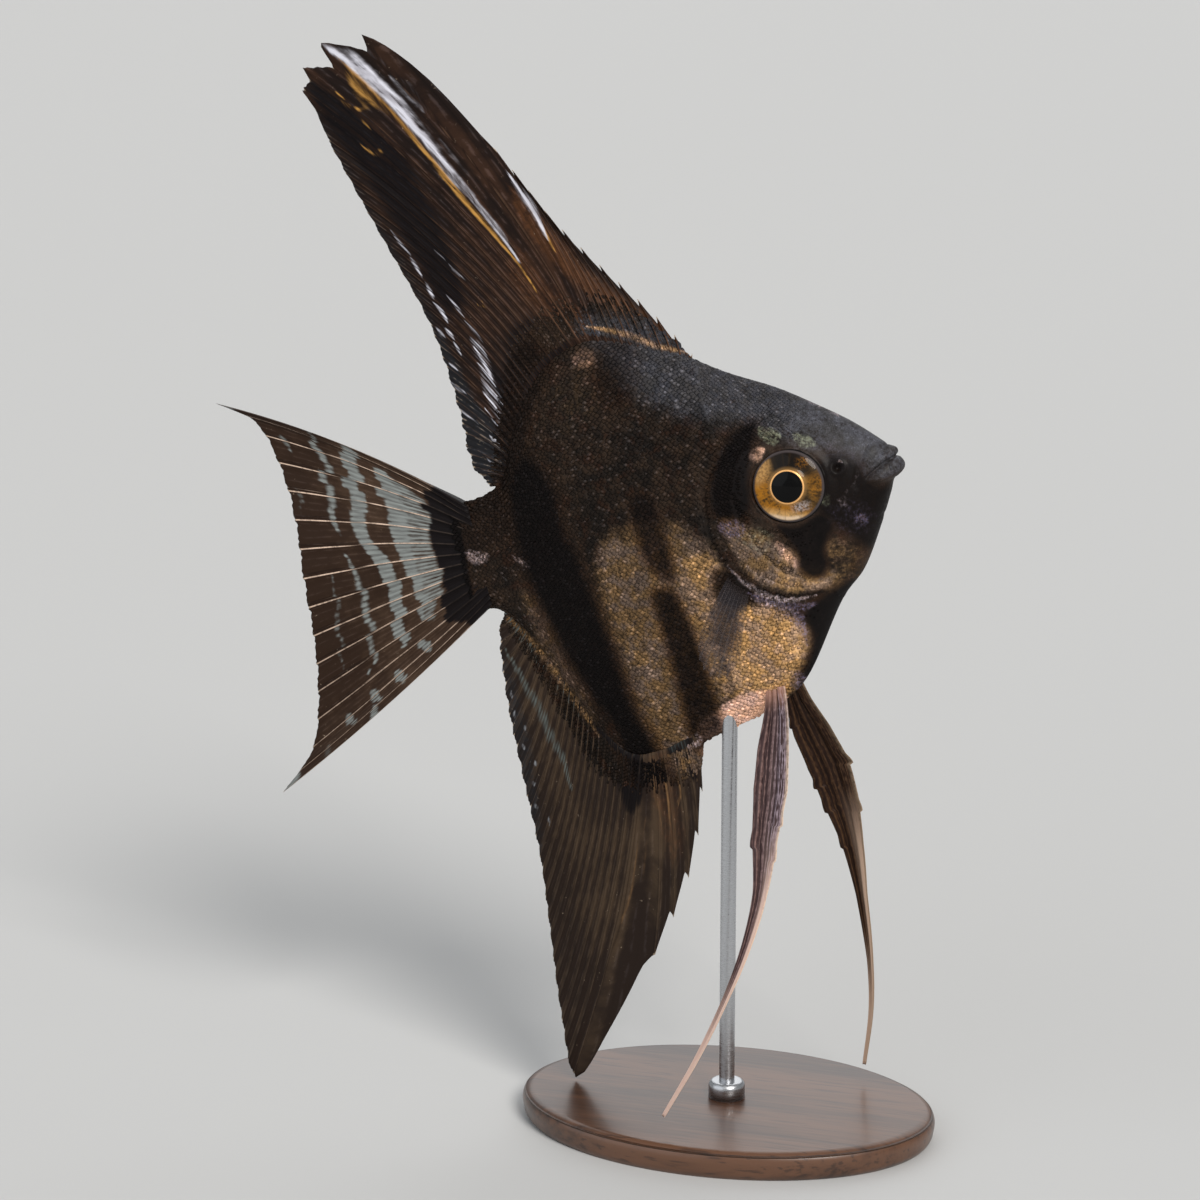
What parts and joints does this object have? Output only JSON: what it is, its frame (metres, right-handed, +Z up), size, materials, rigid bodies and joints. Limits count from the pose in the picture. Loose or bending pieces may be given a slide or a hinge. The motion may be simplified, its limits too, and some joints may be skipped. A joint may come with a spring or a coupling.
{
  "type": "freshwater angelfish model",
  "caption": "Still life-size freshwater angelfish with tall dorsal and anal fins and trailing pelvic filaments, on an oval base with one rod.",
  "frame": {"origin": "centre of the stand base's underside, on the rod's axis", "axes": "+Z up, +X towards the fish's snout, +Y towards the fish's left side"},
  "size_m": [0.107, 0.042, 0.1525],
  "materials": {
    "skin": "painted scaly skin, satin, with dark bars and a golden breast",
    "fin": "dark brown ribbed fin membrane with pale streaks",
    "clear_fin": "thin translucent fin membrane",
    "eye": "glossy golden iris with a black pupil",
    "dark_wood": "satin varnish",
    "steel": "brushed"
  },
  "bodies": {
    "root": {"head": "skin", "upper_lip": "skin", "lower_jaw": "skin", "gill_cover_left": "skin", "gill_cover_right": "skin", "trunk": "skin", "tail": "skin", "eye_left": "eye", "eye_right": "eye", "dorsal_fin": "fin", "anal_fin": "fin", "caudal_fin": "fin", "pelvic_fin_left": "fin", "pelvic_fin_right": "fin", "pectoral_fin_left": "clear_fin", "pectoral_fin_right": "clear_fin", "stand_base": "dark_wood", "stand_rod": "steel", "stand_collar": "steel"}
  },
  "joints": []
}
